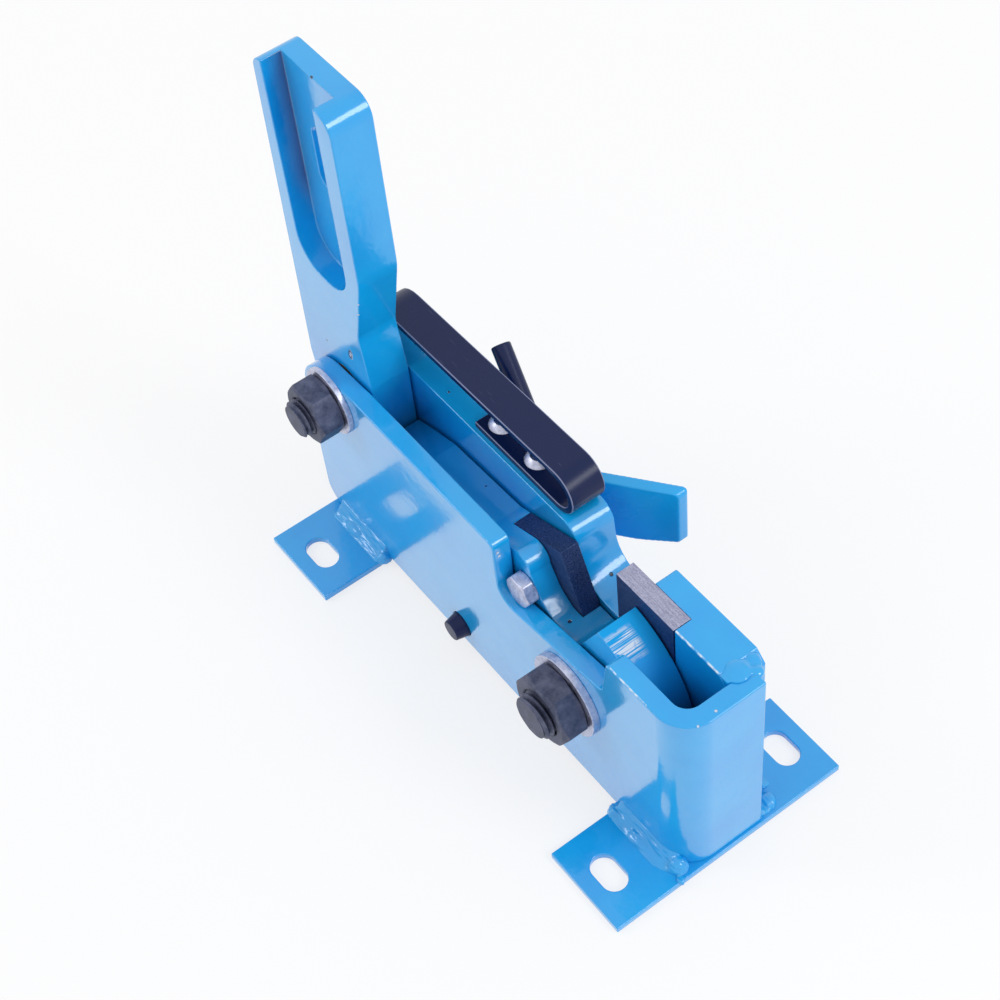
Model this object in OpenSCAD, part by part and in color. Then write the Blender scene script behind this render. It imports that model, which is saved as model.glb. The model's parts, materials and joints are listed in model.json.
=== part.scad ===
/* [Feet] */
// Length of each foot along the cutter
foot_l = 50; // [40:1:70]
// Width of each foot across the cutter
foot_w = 136; // [120:1:170]
// Thickness of the foot plate
foot_t = 4; // [3:0.5:8]
// Distance between the bench slots along the cutter
slot_pitch_x = 242; // [232:1:260]
// Distance between the bench slots across the cutter
slot_pitch_y = 106; // [100:1:112]
// Width of a bench slot
slot_w = 13; // [9:0.5:15]
// Whole length of a bench slot
slot_l = 21; // [17:0.5:28]

/* [Side plates] */
// Thickness of the near side plate, which is bent round the front
near_t = 10; // [6:0.5:14]
// Thickness of the far side plate
far_t = 22; // [18:0.5:28]
// Height of the near side plate above the feet
near_h = 119; // [116:0.5:122]
// How far the far side plate stands above the near one
far_step = 1; // [0:0.5:3]
// Rear edge of both plates, from the middle of the bench slots
plate_rear = 151; // [148:0.5:156]
// Front face of the front wall, from the middle of the bench slots
wall_front = 144.7; // [140:0.1:150]
// Outer radius of the bend between the near plate and the front wall
bend_r = 18; // [14:1:24]
// How far the front wall reaches over the front end of the far plate
wall_lap = 13.7; // [8:0.1:20]
// Leg of the weld beads
weld_leg = 6; // [3:0.5:7]
// Gap between the foot's end and the end of a foot weld
weld_end = 2; // [0.5:0.5:6]

/* [Pivots] */
// Front pivot, forward of the middle of the bench slots
front_x = 64; // [62:0.5:66]
// Front pivot, above the bench
front_z = 65.5; // [64:0.5:67]
// Thread size of the front pivot bolt
front_d = 24; // [20:1:26]
// Across flats of the front bolt head and nut
front_af = 36; // [32:1:41]
// Rear pivot, behind the middle of the bench slots
rear_x = 123.5; // [122:0.5:126]
// Rear pivot, above the bench
rear_z = 106.5; // [105:0.5:108]
// Thread size of the rear pivot bolt
rear_d = 20; // [16:1:22]
// Across flats of the rear bolt head and nut
rear_af = 30; // [27:1:34]
// Height of the pivot nuts
nut_h = 14; // [10:0.5:20]
// Thickness of the front pivot washer
front_washer_t = 4; // [2:0.5:5]
// Thickness of the rear pivot washer
rear_washer_t = 3; // [2:0.5:4]
// Height of the pivot bolts' thin heads on the far plate
pivot_head_h = 8; // [5:0.5:8]
// Wall of the bushes in the arm and in the lever
bush_wall = 4; // [2.5:0.5:6]
// Radial clearance of a shaft in its bore
shaft_fit = 0.05; // [0.02:0.01:0.1]

/* [Moving jaw] */
// Thickness of the jaw arm and of the lever
jaw_t = 22; // [20:0.5:28]
// Play between the jaw arm and each side plate
side_play = 0.8; // [0.6:0.1:1.5]
// Middle plane of the jaw arm, across from the middle of the feet
jaw_mid = 5.5; // [3:0.5:8]
// Radius of the jaw arm's hub round the front pivot
hub_r = 50; // [48:0.5:52]
// Slope of the throat's front face
throat_angle = 61; // [56:1:66]
// Height of the throat's floor above the bench
throat_z = 85.5; // [85:0.5:87]
// Length of the throat's floor behind its front face
throat_floor = 18.4; // [17:0.2:19.4]
// Diameter of the stop pin under the jaw arm
stop_d = 14; // [10:1:16]

/* [Blades] */
// Side of the square blades
blade_w = 40; // [38:0.5:42]
// Thickness of the blades
blade_t = 10; // [8:0.5:12]
// Gap between the two blades where they pass
shear_gap = 0.4; // [0.3:0.05:0.6]
// Rear cutting edge of the fixed blade
fixed_edge = 59.3; // [58.5:0.1:60]
// Tilt of the moving blade at rest
blade_tilt = 22; // [20:0.5:24]
// Thread size of the moving blade's bolt
blade_bolt_d = 10; // [8:1:12]
// Across flats of the moving blade's bolt head
blade_bolt_af = 16; // [13:0.5:17]
// Height of the moving blade's bolt head
blade_head_h = 7; // [5:0.2:7.4]
// Thread size of the fixed blade's bolt
fixed_bolt_d = 8; // [6:1:9]
// Diameter of the fixed blade's domed bolt head
fixed_head_d = 20.6; // [18:0.2:22]
// Height of the fixed blade's domed bolt head
fixed_head_h = 5.4; // [4:0.2:7]

/* [Lever] */
// Height of the lever above the rear pivot
lever_h = 193.5; // [180:0.5:220]
// Width of the lever's socket end
lever_w = 60; // [56:0.5:66]
// Radius of the lever's foot round the rear pivot
lever_foot_r = 36; // [32:0.5:38]
// Depth of the tube pocket
pocket_d = 11; // [8:0.5:14]
// Wall behind the tube pocket
pocket_rear = 7.5; // [5:0.5:10]
// Wall in front of the tube pocket
pocket_front = 12; // [9:0.5:15]
// Length of the tube pocket
pocket_l = 119; // [100:1:125]
// Width of the tube bolt's slot
tube_slot_w = 13; // [9:0.5:15]
// Whole length of the tube bolt's slot
tube_slot_l = 36; // [26:1:44]
// Radius of the toe that lifts the jaw arm
toe_r = 8; // [6:0.5:9]
// Toe, forward of the rear pivot
toe_run = 42; // [41:0.25:43]
// Toe, below the rear pivot
toe_drop = 52; // [51:0.25:53]

/* [Carrying strap] */
// Width of the strap
strap_w = 19; // [16:0.5:20]
// Thickness of the strap
strap_t = 3.5; // [2:0.25:4]
// Height of the strap's front end above the far plate
strap_h = 26; // [22:0.5:34]
// Fall of the strap's top from its front end to its rear end
strap_fall = 4.5; // [0:0.5:6]
// Front end of the strap
strap_front = 25.5; // [20:0.5:26]
// Length of the strap
strap_l = 164.5; // [150:0.5:170]
// Length of the strap's screwed leg
strap_leg = 76; // [66:1:84]
// Distance between the strap's screws
screw_pitch = 28; // [22:1:34]
// Thread size of the strap's screws
screw_d = 8; // [5:1:8]
// Diameter of the screw heads
screw_head_d = 14; // [9:0.5:16]

/* [Bar stop] */
// Thickness of the bar stop
stop_t = 6; // [5:0.5:8]
// Height of the bar stop
stop_h = 40; // [32:1:44]
// Outward bend of the bar stop's wing
wing_angle = 37; // [30:1:45]
// Length of the bar stop's wing
wing_l = 45.4; // [40:0.2:52]
// Bend of the wing, forward of the middle of the bench slots
wing_bend = 6.4; // [2:0.2:8]
// Pivot of the bar stop, behind the wing's bend
stop_pivot_run = 26.4; // [20:0.2:32]
// Length of the bar stop's leg behind its pivot
stop_tail = 31; // [28:1:36]
// Diameter of the bar stop's handle rod
rod_d = 10; // [8:0.5:12]
// Length of the handle rod
rod_l = 34; // [28:1:44]
// Rearward lean of the handle rod from upright
rod_lean = 54; // [45:1:60]
// Outward turn of the handle rod
rod_turn = 13; // [0:1:20]
// Thread size of the bar stop's pivot bolt
stop_bolt_d = 10; // [8:1:12]

/* [Hidden] */
$fn = 96;

// One overrun serves every cut
over = 5;
// Steps of each rounded corner in an outline
corner_steps = 7;

// Stack across the cutter, from the near plate to the far plate
arm_near = -jaw_mid - jaw_t / 2;
arm_far = -jaw_mid + jaw_t / 2;
near_in = arm_near - side_play;
near_out = near_in - near_t;
far_in = arm_far + side_play;
far_out = far_in + far_t;

// Levels and ends of the plates
near_top = foot_t + near_h;
far_top = near_top + far_step;
wall_back = wall_front - near_t;
bend_x = wall_front - bend_r;
bend_y = near_out + bend_r;
wall_end = far_in + wall_lap;
plate_low_r = 12;
plate_rear_r = 24;
near_rear_drop = 4;
far_rear_drop = 10;
plate_slope_x = -102;
plate_slope_r = 5;

// Clearance of a seated piece in its pocket
seat_fit = 0.1;

// Blades: the fixed one seats in the far plate, the moving one in the arm
moving_far = arm_far;
moving_near = moving_far - blade_t;
fixed_near = moving_far + shear_gap;
fixed_far = fixed_near + blade_t;
fixed_bolt_x = fixed_edge + blade_w / 2;
fixed_bolt_z = far_top - blade_w / 2;
fixed_low = far_top - blade_w;
// Front upper corner of the moving blade at rest, behind and below the fixed blade's
open_gap = 27.3;
tip_drop = 4;
moving_tip_x = fixed_edge - open_gap;
moving_tip_z = far_top - tip_drop;
moving_bolt_x = moving_tip_x - blade_w / 2 * cos(blade_tilt) + blade_w / 2 * sin(blade_tilt);
moving_bolt_z = moving_tip_z - blade_w / 2 * sin(blade_tilt) - blade_w / 2 * cos(blade_tilt);
head_room = 0.8;
blade_washer_share = 2.6;
bolt_head_r = blade_bolt_af / 2 / cos(30);
washer_d = blade_washer_share * fixed_bolt_d;
washer_t = 2;
bolt_short = 1;
blade_bolt_bite = blade_t - bolt_short;

// Notch of the near plate round the moving jaw's bolt
notch_rear = moving_bolt_x - bolt_head_r - head_room;
notch_low = moving_bolt_z - bolt_head_r - 2 * head_room;
notch_low_r = bolt_head_r;
notch_top_r = 4;
notch_front = 88.5;
notch_rise = 12.5;
notch_lean_share = 0.17;
notch_front_r = 4;

// Mouth of the far plate
mouth_rear = 29.5;
mouth_top_r = 10;
mouth_slope = 2;
mouth_r = 18;
mouth_step = 3.5;
mouth_z = throat_z + mouth_step;
post_step = 14.8;
post_rear = fixed_edge + post_step;
post_r = 1.5;

// Jaw arm
throat_back = 6.6;
throat_front = front_x - throat_back;
throat_top = far_top + over;
ear_toe_x = throat_front - throat_floor;
ear_back = 8.5;
ear_x = moving_tip_x - ear_back;
ear_z = moving_tip_z - ear_back * tan(blade_tilt);
ear_brow = 12.5;
ear_brow_z = ear_z - ear_brow;
ear_tip_r = 8;
ear_r = 5;
ear_waist_out = 7;
ear_waist_x = ear_x + ear_waist_out;
ear_waist_rise = 6;
ear_waist_z = throat_z + ear_waist_rise;
ear_waist_r = 12;
floor_r = 5;
seat_gap = 0.2;
belly_drop = 41.8;
belly_z = front_z - belly_drop;
stop_back = 29;
stop_x = -stop_back;
stop_z = belly_z - seat_gap - stop_d / 2;
stop_proud = 7;
stop_taper = 1.5;

// Lever, from its rear pivot
lever_face = 22.5;
lever_front = -rear_x + lever_face;
lever_lean = 5;
lever_top_r = 10;
lever_heel_r = 7;
shoulder_h = 95;
shoulder_r = 40;
neck_h = 50;
neck_in = 4.3;
neck_r = 20;
cheek_h = 18;
cheek_r = 15;
toe_gap = 0.4;
tail_clear = 1.5;
heel_in = 8;
heel_h = 23;
foot_run = 10;
toe_x = -rear_x + toe_run;
toe_z = rear_z - toe_drop;

// Tail of the jaw arm over the toe
tail_end = lever_front + tail_clear;
tail_under = toe_z + toe_r + toe_gap;
tail_h = 24.6;
tail_top = tail_under + tail_h;
tail_crease_x = -82;
tail_crease_up = 6.5;
tail_crease_z = tail_top + tail_crease_up;
tail_rise_x = -66;
tail_rise_up = 4.8;
tail_rise_z = tail_crease_z + tail_rise_up;
ear_foot_x = -13;
ear_foot_up = 3.4;
ear_foot_z = tail_rise_z + ear_foot_up;
recess_reach = 34;
recess_front = toe_x + recess_reach;
recess_run = 8;
recess_r = 10;
tail_r = 2;

// Lever outline above the pivot
lever_back = -rear_x - lever_foot_r + lever_lean;
lever_top = rear_z + lever_h;
pocket_r = 17;
tube_slot_drop = 50;
tube_slot_x = lever_back + (pocket_rear + lever_w - pocket_front) / 2;
tube_slot_z = lever_top - tube_slot_drop;
toe_step = 3;

// Bolts and washers
washer_share = 1.85;
tip_share = 0.08;
flare_share = 1.5;
bolt_proud = 5.5;

// Carrying strap and its screws
strap_far = far_out - side_play;
strap_mid = strap_far - strap_w / 2;
strap_turn_share = 0.98;
strap_rear_r = 20;
screw_inset = 9.5;
screw_x = strap_front - strap_leg + screw_inset;
screw_bite = 10;
screw_head_h = 4.4;
screw_crown_share = 0.6;

// Bar stop on the outside of the far plate
stop_play = 0.1;
stop_gap = 0.3;
stop_in = far_out + stop_gap;
stop_out = stop_in + stop_t;
stop_pivot_x = wing_bend - stop_pivot_run;
stop_drop = 1.2;
stop_top = far_top - stop_drop;
stop_low = stop_top - stop_h;
stop_pivot_drop = 17.8;
stop_pivot_z = stop_top - stop_pivot_drop;
stop_tail_x = stop_pivot_x - stop_tail;
wing_rise = 3.6;
wing_rise_run = 16;
stop_bolt_af = 16;
stop_bolt_bite = 15;
stop_head_h = 5;
stop_washer_t = 1.5;
rod_foot = 23.2;

module side(y, t) {
    translate([0, y + t, 0]) rotate([90, 0, 0]) linear_extrude(t) children();
}

module rod_y(x, z, d, y0, y1) {
    translate([x, y0, z]) rotate([-90, 0, 0]) cylinder(d = d, h = y1 - y0);
}

function unit(v) = v / norm(v);

// Points of a rounded corner q between its neighbours p and n
function corner(p, q, n, r) =
    let (
        u = unit(p - q),
        v = unit(n - q),
        half = acos(u * v) / 2,
        c = q + unit(u + v) * r / sin(half),
        a = q + u * r / tan(half) - c,
        b = q + v * r / tan(half) - c,
        start = atan2(a[1], a[0]),
        turn = atan2(a[0] * b[1] - a[1] * b[0], a * b)
    )
    r == 0 ? [q] : [
        for (i = [0 : corner_steps])
            c + r * [cos(start + turn * i / corner_steps), sin(start + turn * i / corner_steps)]
    ];

// Outline from corners given as [x, z, radius]
function rounded(k) = [
    for (i = [0 : len(k) - 1])
        let (p = k[(i + len(k) - 1) % len(k)], q = k[i], n = k[(i + 1) % len(k)])
            each corner([p[0], p[1]], [q[0], q[1]], [n[0], n[1]], q[2])
];

// Hexagon along Y with its corners chamfered at both ends
module hex_y(x, z, af, y0, y1) {
    flare = af / 2;
    wide = flare_share * flare;
    rise = (wide - flare) * tan(30);
    translate([x, y0, z]) rotate([-90, 0, 0]) intersection() {
        cylinder(r = af / 2 / cos(30), h = y1 - y0, $fn = 6);
        rotate_extrude() polygon([
            [0, 0], [flare, 0], [wide, rise], [wide, y1 - y0 - rise], [flare, y1 - y0], [0, y1 - y0]
        ]);
    }
}

// Shank along Y with a chamfered end at y0
module shank_y(x, z, d, y0, y1) {
    tip = tip_share * d;
    translate([x, y0, z]) rotate([-90, 0, 0]) cylinder(d1 = d - 2 * tip, d2 = d, h = tip);
    rod_y(x, z, d, y0 + tip, y1);
}

module ring_y(x, z, outer_d, inner_d, y0, y1) {
    difference() {
        rod_y(x, z, outer_d, y0, y1);
        rod_y(x, z, inner_d, y0 - over, y1 + over);
    }
}

module slot_cut(x, y) {
    straight = slot_l - slot_w;
    for (end = [-1, 1]) {
        translate([x + end * straight / 2, y, -over]) cylinder(d = slot_w, h = foot_t + 2 * over);
    }
    translate([x - straight / 2, y - slot_w / 2, -over]) cube([straight, slot_w, foot_t + 2 * over]);
}

module foot(x) {
    color("dodgerblue") difference() {
        translate([x - foot_l / 2, -foot_w / 2, 0]) cube([foot_l, foot_w, foot_t]);
        for (end = [-1, 1]) {
            slot_cut(x, end * slot_pitch_y / 2);
        }
    }
}

module front_foot() {
    foot(slot_pitch_x / 2);
}

module rear_foot() {
    foot(-slot_pitch_x / 2);
}

near_outline = rounded([
    [-plate_rear, foot_t, plate_low_r],
    [-plate_rear, near_top - near_rear_drop, plate_rear_r],
    [plate_slope_x, near_top, plate_slope_r],
    [notch_rear, near_top, notch_top_r],
    [notch_rear, notch_low, notch_low_r],
    [notch_front, notch_low + notch_rise, notch_front_r],
    [notch_front + (near_top - notch_low - notch_rise) * notch_lean_share, near_top, notch_front_r],
    [bend_x, near_top, 0],
    [bend_x, foot_t, 0]
]);

module near_side_plate() {
    color("dodgerblue") difference() {
        union() {
            side(near_out, near_t) polygon(near_outline);
            translate([bend_x, bend_y, foot_t]) intersection() {
                difference() {
                    cylinder(r = bend_r, h = near_h);
                    translate([0, 0, -over]) cylinder(r = bend_r - near_t, h = near_h + 2 * over);
                }
                translate([0, -bend_r - over, 0]) cube([bend_r + over, bend_r + over, near_h]);
            }
            translate([wall_back, bend_y, foot_t]) cube([near_t, wall_end - bend_y, near_h]);
        }
        rod_y(front_x, front_z, front_d + 2 * shaft_fit, near_out - over, near_in + over);
        rod_y(-rear_x, rear_z, rear_d + 2 * shaft_fit, near_out - over, near_in + over);
        rod_y(stop_x, stop_z, stop_d + 2 * shaft_fit, near_out - over, near_in + over);
    }
}

module screw_places() {
    for (i = [0, 1]) {
        translate([screw_x + i * screw_pitch, strap_mid, far_top]) children();
    }
}

far_outline = rounded([
    [-plate_rear, foot_t, plate_low_r],
    [-plate_rear, far_top - far_rear_drop, plate_rear_r],
    [plate_slope_x, far_top, plate_slope_r],
    [mouth_rear, far_top, mouth_top_r],
    [mouth_rear + mouth_slope, mouth_z, mouth_r],
    [post_rear, mouth_z, 0],
    [post_rear, far_top, post_r],
    [wall_back - weld_leg, far_top, 0],
    [wall_back, far_top - weld_leg, 0],
    [wall_back, foot_t, 0]
]);

module far_side_plate() {
    color("dodgerblue") difference() {
        side(far_in, far_t) polygon(far_outline);
        translate([fixed_edge - seat_fit, far_in - over, fixed_low - seat_fit])
            cube([blade_w + 2 * seat_fit, over + fixed_far - far_in + seat_fit, blade_w + over]);
        rod_y(front_x, front_z, front_d + 2 * shaft_fit, far_in - over, far_out + over);
        rod_y(-rear_x, rear_z, rear_d + 2 * shaft_fit, far_in - over, far_out + over);
        rod_y(stop_x, stop_z, stop_d + 2 * shaft_fit, far_in - over, far_out + over);
        rod_y(fixed_bolt_x, fixed_bolt_z, fixed_bolt_d + 2 * shaft_fit, far_in - over, far_out + over);
        rod_y(stop_pivot_x, stop_pivot_z, stop_bolt_d + 2 * shaft_fit, far_out - stop_bolt_bite, far_out + over);
        screw_places() translate([0, 0, -screw_bite]) cylinder(d = screw_d + 2 * shaft_fit, h = screw_bite + over);
    }
}

// Weld bead along X in the corner between a plate's face and the foot
module foot_bead(x0, x1, y, out) {
    translate([x0, y, foot_t]) rotate([90, 0, 90]) linear_extrude(x1 - x0)
        polygon([[0, 0], [out * weld_leg, 0], [0, weld_leg]]);
}

module foot_welds() {
    foot_in = slot_pitch_x / 2 - foot_l / 2 + weld_end;
    color("deepskyblue") {
        foot_bead(-plate_rear + plate_low_r, -foot_in, near_out, -1);
        foot_bead(-plate_rear + plate_low_r, -foot_in, far_out, 1);
        foot_bead(foot_in, bend_x, near_out, -1);
        foot_bead(foot_in, wall_back, far_out, 1);
        foot_bead(wall_back, wall_front, wall_end, 1);
    }
}

module corner_weld() {
    color("deepskyblue") {
        translate([wall_back, wall_end, foot_t + weld_leg]) linear_extrude(near_h - weld_leg)
            polygon([[0, 0], [weld_leg, 0], [0, weld_leg]]);
        side(far_in, wall_end - far_in)
            polygon([[wall_back - weld_leg, far_top], [wall_back, far_top], [wall_back, far_top - weld_leg]]);
    }
}

module moving_blade_place() {
    translate([moving_tip_x, 0, moving_tip_z]) rotate([0, -blade_tilt, 0]) translate([-blade_w, 0, -blade_w])
        children();
}

module shear_arm() {
    color("dodgerblue") difference() {
        union() {
            side(arm_near, jaw_t) polygon(rounded([
                [tail_end + heel_in, tail_under, tail_r],
                [tail_end, tail_under + heel_h, tail_r],
                [tail_end, tail_top, 0],
                [tail_crease_x, tail_crease_z, tail_r],
                [tail_rise_x, tail_rise_z, ear_r],
                [ear_foot_x, ear_foot_z, ear_r],
                [ear_x, ear_z, ear_tip_r],
                [ear_x, ear_brow_z, 0],
                [front_x, ear_brow_z, 0],
                [front_x, belly_z, 0],
                [recess_front + recess_run, belly_z, recess_r],
                [recess_front, tail_under, recess_r]
            ]));
            rod_y(front_x, front_z, 2 * hub_r, arm_near, arm_far);
        }
        side(arm_near - over, jaw_t + 2 * over) polygon(rounded([
            [ear_x, throat_top, 0],
            [ear_x, ear_brow_z, 0],
            [ear_waist_x, ear_waist_z, ear_waist_r],
            [ear_toe_x, throat_z, floor_r],
            [throat_front, throat_z, floor_r],
            [throat_front + (throat_top - throat_z) / tan(throat_angle), throat_top, 0]
        ]));
        moving_blade_place() translate([-seat_fit, moving_near - seat_fit, -seat_fit])
            cube([blade_w + 2 * seat_fit, blade_t + seat_fit + over, blade_w + seat_fit + over]);
        rod_y(front_x, front_z, front_d + 2 * bush_wall + 2 * shaft_fit, arm_near - over, arm_far + over);
        rod_y(moving_bolt_x, moving_bolt_z, blade_bolt_d + 2 * shaft_fit, arm_near - over, arm_far + over);
    }
}

module arm_bush() {
    color("goldenrod")
        ring_y(front_x, front_z, front_d + 2 * bush_wall, front_d + 2 * shaft_fit, arm_near, arm_far);
}

module moving_blade() {
    color("dimgray") difference() {
        moving_blade_place() translate([0, moving_near, 0]) cube([blade_w, blade_t, blade_w]);
        rod_y(moving_bolt_x, moving_bolt_z, blade_bolt_d + 2 * shaft_fit, moving_near - over, moving_far + over);
    }
}

module moving_blade_bolt() {
    color("silver") {
        hex_y(moving_bolt_x, moving_bolt_z, blade_bolt_af, arm_near - blade_head_h, arm_near);
        rod_y(moving_bolt_x, moving_bolt_z, blade_bolt_d, arm_near, moving_near + blade_bolt_bite);
    }
}

module fixed_blade() {
    color("gray") difference() {
        translate([fixed_edge, fixed_near, fixed_low]) cube([blade_w, blade_t, blade_w]);
        rod_y(fixed_bolt_x, fixed_bolt_z, fixed_bolt_d + 2 * shaft_fit, fixed_near - over, fixed_far + over);
    }
}

module fixed_blade_bolt() {
    seat = far_out + washer_t;
    dome_r = (pow(fixed_head_d / 2, 2) + pow(fixed_head_h, 2)) / (2 * fixed_head_h);
    color("silver") {
        shank_y(fixed_bolt_x, fixed_bolt_z, fixed_bolt_d, fixed_far - blade_bolt_bite, seat);
        intersection() {
            translate([fixed_bolt_x, seat + fixed_head_h - dome_r, fixed_bolt_z]) sphere(r = dome_r);
            rod_y(fixed_bolt_x, fixed_bolt_z, 2 * dome_r, seat, seat + 2 * fixed_head_h);
        }
    }
}

module fixed_blade_washer() {
    color("silver") ring_y(
        fixed_bolt_x, fixed_bolt_z, washer_d, fixed_bolt_d + 2 * shaft_fit, far_out, far_out + washer_t);
}

// Pivot bolt: head beyond the far plate, thread end beyond the near plate's nut
module pivot_bolt(x, z, d, af, washer) {
    color("dimgray") {
        shank_y(x, z, d, near_out - washer - nut_h - bolt_proud, far_out);
        hex_y(x, z, af, far_out, far_out + pivot_head_h);
    }
}

module pivot_nut(x, z, d, af, washer) {
    face = near_out - washer;
    color("dimgray") difference() {
        hex_y(x, z, af, face - nut_h, face);
        rod_y(x, z, d + 2 * shaft_fit, face - nut_h - over, face + over);
    }
}

module pivot_washer(x, z, d, washer) {
    color("silver") ring_y(x, z, washer_share * d, d + 2 * shaft_fit, near_out - washer, near_out);
}

module front_pivot_bolt() {
    pivot_bolt(front_x, front_z, front_d, front_af, front_washer_t);
}

module front_pivot_nut() {
    pivot_nut(front_x, front_z, front_d, front_af, front_washer_t);
}

module front_pivot_washer() {
    pivot_washer(front_x, front_z, front_d, front_washer_t);
}

module rear_pivot_bolt() {
    pivot_bolt(-rear_x, rear_z, rear_d, rear_af, rear_washer_t);
}

module rear_pivot_nut() {
    pivot_nut(-rear_x, rear_z, rear_d, rear_af, rear_washer_t);
}

module rear_pivot_washer() {
    pivot_washer(-rear_x, rear_z, rear_d, rear_washer_t);
}

module lever() {
    color("dodgerblue") difference() {
        union() {
            side(arm_near, jaw_t) polygon(rounded([
                [lever_back, lever_top, lever_heel_r],
                [lever_back + lever_w, lever_top, lever_top_r],
                [lever_back + lever_w, rear_z + shoulder_h, shoulder_r],
                [lever_front - neck_in, rear_z + neck_h, neck_r],
                [lever_front, rear_z + cheek_h, cheek_r],
                [lever_front, toe_z + toe_r - toe_step, toe_r / 2],
                [toe_x, toe_z + toe_r, 0],
                [toe_x, toe_z - toe_r, 0],
                [-rear_x + foot_run, rear_z - lever_foot_r, neck_r],
                [-rear_x - lever_foot_r, rear_z - lever_foot_r, lever_foot_r],
                [-rear_x - lever_foot_r, rear_z, 0]
            ]));
            rod_y(toe_x, toe_z, 2 * toe_r, arm_near, arm_far);
        }
        side(arm_near - over, pocket_d + over) polygon(rounded([
            [lever_back + pocket_rear, lever_top + over, 0],
            [lever_back + lever_w - pocket_front, lever_top + over, 0],
            [lever_back + lever_w - pocket_front, lever_top - pocket_l, pocket_r],
            [lever_back + pocket_rear, lever_top - pocket_l, pocket_r]
        ]));
        for (end = [-1, 1]) {
            rod_y(tube_slot_x, tube_slot_z + end * (tube_slot_l - tube_slot_w) / 2, tube_slot_w,
                arm_near - over, arm_far + over);
        }
        translate([tube_slot_x - tube_slot_w / 2, arm_near - over, tube_slot_z - (tube_slot_l - tube_slot_w) / 2])
            cube([tube_slot_w, jaw_t + 2 * over, tube_slot_l - tube_slot_w]);
        rod_y(-rear_x, rear_z, rear_d + 2 * bush_wall + 2 * shaft_fit, arm_near - over, arm_far + over);
    }
}

module lever_bush() {
    color("goldenrod")
        ring_y(-rear_x, rear_z, rear_d + 2 * bush_wall, rear_d + 2 * shaft_fit, arm_near, arm_far);
}

// Strap bent from one flat bar, its rear end cut to sit on the far plate
module carry_strap() {
    top = far_top + strap_h;
    rear = strap_front - strap_l;
    turn_r = strap_turn_share * strap_h / 2;
    color("darkslategray") difference() {
        side(strap_far - strap_w, strap_w) polygon(rounded([
            [strap_front - strap_leg, far_top, 0],
            [strap_front, far_top, turn_r],
            [strap_front, top, turn_r],
            [rear, top - strap_fall, strap_rear_r],
            [rear, far_top - strap_h, 0],
            [rear + strap_t, far_top - strap_h, 0],
            [rear + strap_t, top - strap_fall - strap_t, strap_rear_r - strap_t],
            [strap_front - strap_t, top - strap_t, turn_r - strap_t],
            [strap_front - strap_t, far_top + strap_t, turn_r - strap_t],
            [strap_front - strap_leg, far_top + strap_t, 0]
        ]));
        side(far_in, far_t) polygon(far_outline);
        screw_places() translate([0, 0, -over]) cylinder(d = screw_d + 2 * shaft_fit, h = strap_t + 2 * over);
    }
}

module strap_screws() {
    color("silver") screw_places() {
        translate([0, 0, -screw_bite + seat_fit]) cylinder(d = screw_d, h = screw_bite + strap_t - seat_fit);
        translate([0, 0, strap_t]) cylinder(d1 = screw_head_d, d2 = screw_crown_share * screw_head_d, h = screw_head_h);
    }
}

module stop_pin() {
    color("black") {
        rod_y(stop_x, stop_z, stop_d, near_out, far_out);
        translate([stop_x, near_out - stop_proud, stop_z]) rotate([-90, 0, 0])
            cylinder(d1 = stop_d - 2 * stop_taper, d2 = stop_d, h = stop_proud);
    }
}

// Bar stop: a leg on the far plate and a wing bent away from it
module bar_stop() {
    tip_x = wing_bend + wing_l * cos(wing_angle);
    tip_y = stop_in + wing_l * sin(wing_angle);
    color("dodgerblue") difference() {
        intersection() {
            translate([0, 0, stop_low]) linear_extrude(stop_h) polygon(rounded([
                [stop_tail_x, stop_in, 0],
                [wing_bend, stop_in, stop_t],
                [tip_x, tip_y, 0],
                [tip_x, tip_y + stop_t / cos(wing_angle), stop_t / 4],
                [wing_bend - stop_t * tan(wing_angle / 2), stop_out, stop_t / 2],
                [stop_tail_x, stop_out, 0]
            ]));
            side(stop_in - over, wing_l + stop_t) polygon(rounded([
                [stop_tail_x, stop_low, stop_tail / 2],
                [tip_x - wing_rise_run, stop_low, stop_tail],
                [tip_x, stop_low + wing_rise, stop_t / 4],
                [tip_x, stop_top, stop_t / 2],
                [stop_tail_x, stop_top, stop_t / 4]
            ]));
        }
        rod_y(stop_pivot_x, stop_pivot_z, stop_bolt_d + 2 * shaft_fit, stop_in - over, stop_out + over);
    }
}

module bar_stop_handle() {
    color("darkslategray") difference() {
        translate([stop_pivot_x - rod_foot, stop_in + rod_d / 2, stop_top]) rotate([0, -rod_lean, -rod_turn])
            translate([0, 0, -rod_d]) cylinder(d = rod_d, h = rod_l + rod_d);
        translate([stop_pivot_x - rod_foot - rod_l, stop_in - over, stop_top - 2 * rod_d])
            cube([2 * rod_l, rod_d + 2 * over, 2 * rod_d]);
    }
}

module bar_stop_bolt() {
    seat = stop_out + stop_play + stop_washer_t;
    color("silver") {
        shank_y(stop_pivot_x, stop_pivot_z, stop_bolt_d, far_out - stop_bolt_bite + seat_fit, seat);
        hex_y(stop_pivot_x, stop_pivot_z, stop_bolt_af, seat, seat + stop_head_h);
    }
}

module bar_stop_washer() {
    color("silver") ring_y(stop_pivot_x, stop_pivot_z, 2 * stop_bolt_d, stop_bolt_d + 2 * shaft_fit,
        stop_out + stop_play, stop_out + stop_play + stop_washer_t);
}

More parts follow.
